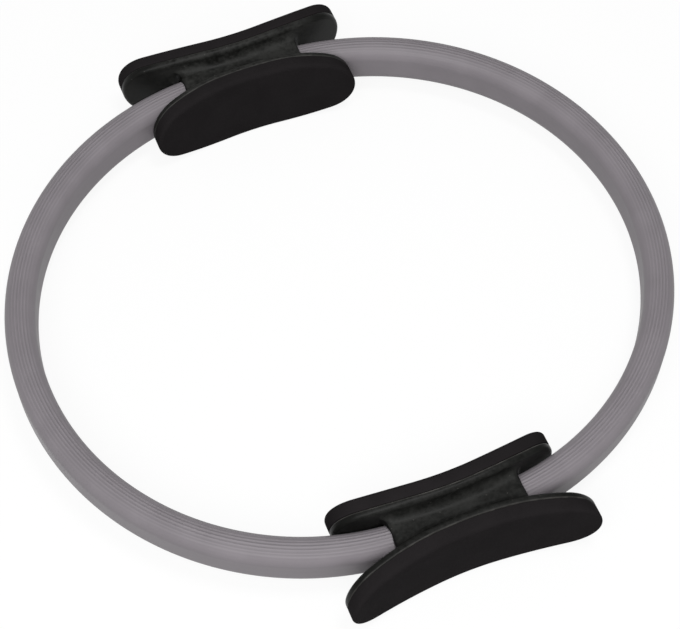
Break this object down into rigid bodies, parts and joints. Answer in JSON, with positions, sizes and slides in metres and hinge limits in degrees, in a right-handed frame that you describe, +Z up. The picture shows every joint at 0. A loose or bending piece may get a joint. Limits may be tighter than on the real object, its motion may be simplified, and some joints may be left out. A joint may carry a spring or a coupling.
{
  "type": "pilates ring",
  "caption": "Springy ring of ribbed grey tube with padded handles across from each other, squeezed between hands or legs as an exercise against its resistance.",
  "frame": {"origin": "on the floor, below the middle of the ring, which lies flat on the lower edges of its pads", "axes": "+X across the bare sides of the ring, +Y through the handles towards handle_a, +Z up along the ring's axis"},
  "size_m": [0.38, 0.3782, 0.051],
  "materials": {
    "handle_moulding": "black soft-touch moulding, matte",
    "pad_foam": "black closed-cell foam, matte",
    "sleeve_rubber": "grey extruded rubber, satin",
    "spring_strip": "pultruded fibreglass strip",
    "screw_steel": "zinc-plated steel"
  },
  "bodies": {
    "handle_a": {"handle_a_outer_shell": "handle_moulding", "handle_a_inner_shell": "handle_moulding", "handle_a_outer_pad": "pad_foam", "handle_a_inner_pad": "pad_foam", "handle_a_screws": "screw_steel"},
    "handle_b": {"handle_b_outer_shell": "handle_moulding", "handle_b_inner_shell": "handle_moulding", "handle_b_outer_pad": "pad_foam", "handle_b_inner_pad": "pad_foam", "handle_b_screws": "screw_steel"},
    "right_tube": {"right_sleeve": "sleeve_rubber"},
    "right_springs": {"right_outer_strip": "spring_strip", "right_inner_strip": "spring_strip"},
    "left_tube": {"left_sleeve": "sleeve_rubber"},
    "left_springs": {"left_outer_strip": "spring_strip", "left_inner_strip": "spring_strip"}
  },
  "joints": [
    {"name": "squeeze", "type": "slide", "parent": "handle_a", "child": "handle_b", "axis": [0, 1, 0], "range_m": [-0.03, 0.08], "stiffness_N_per_m": 1000},
    {"name": "right_tube_flex", "type": "slide", "parent": "handle_a", "child": "right_tube", "axis": [0.6771, 0.7359, 0], "range_m": [-0.0214, 0.0554], "deforming": ["right_sleeve"]},
    {"name": "right_springs_flex", "type": "slide", "parent": "handle_b", "child": "right_springs", "axis": [0.6771, -0.7359, 0], "range_m": [-0.0214, 0.0554], "deforming": ["right_outer_strip", "right_inner_strip"]},
    {"name": "left_tube_flex", "type": "slide", "parent": "handle_a", "child": "left_tube", "axis": [-0.6771, 0.7359, 0], "range_m": [-0.0214, 0.0554], "deforming": ["left_sleeve"]},
    {"name": "left_springs_flex", "type": "slide", "parent": "handle_b", "child": "left_springs", "axis": [-0.6771, -0.7359, 0], "range_m": [-0.0214, 0.0554], "deforming": ["left_outer_strip", "left_inner_strip"]}
  ],
  "couplings": [
    {"joint": "right_tube_flex", "follows": "squeeze", "ratio": 0.67941},
    {"joint": "right_springs_flex", "follows": "squeeze", "ratio": 0.67941},
    {"joint": "left_tube_flex", "follows": "squeeze", "ratio": 0.67941},
    {"joint": "left_springs_flex", "follows": "squeeze", "ratio": 0.67941}
  ]
}
